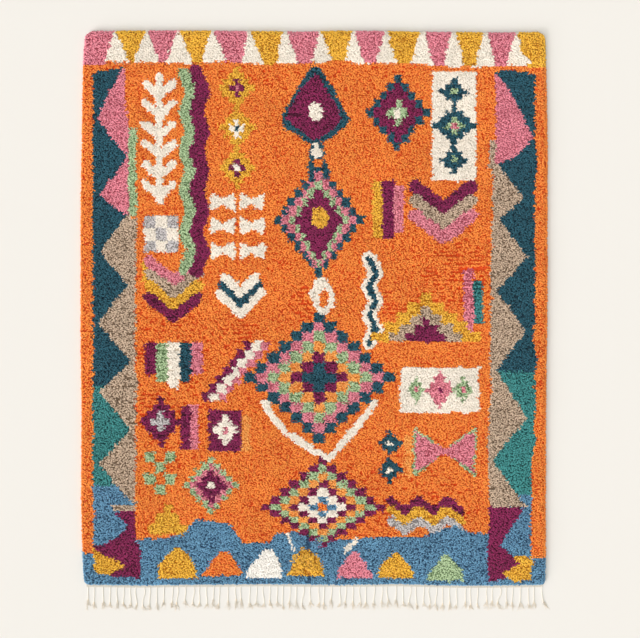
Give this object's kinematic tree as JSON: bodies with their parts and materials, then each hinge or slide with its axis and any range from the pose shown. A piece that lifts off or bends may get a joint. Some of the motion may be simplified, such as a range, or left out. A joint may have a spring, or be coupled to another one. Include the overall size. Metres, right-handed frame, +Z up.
{
  "type": "shaggy pile rug with fringe",
  "caption": "Flat rectangular hand-knotted rug with a dense wool pile in traditional geometric bands and a knotted cotton fringe along one end.",
  "frame": {"origin": "centre of the bottom face of the box round the pile and the fringe, on the floor that the rug lies on", "axes": "+Z up from the floor; +Y along the rug's length, from the fringe at the foot towards the head; +X across the rug, to the right when it is seen from above with the head up"},
  "size_m": [2.0086, 2.4914, 0.0266],
  "materials": {
    "wool_pile": "cut wool pile, matt, orange ground with cream, teal, blue, plum, pink, mustard, sage and taupe motifs",
    "cotton_fringe": "undyed twisted cotton warp, matt, with tan frayed ends"
  },
  "bodies": {
    "root": {"pile": "wool_pile", "fringe": "cotton_fringe"}
  },
  "joints": []
}
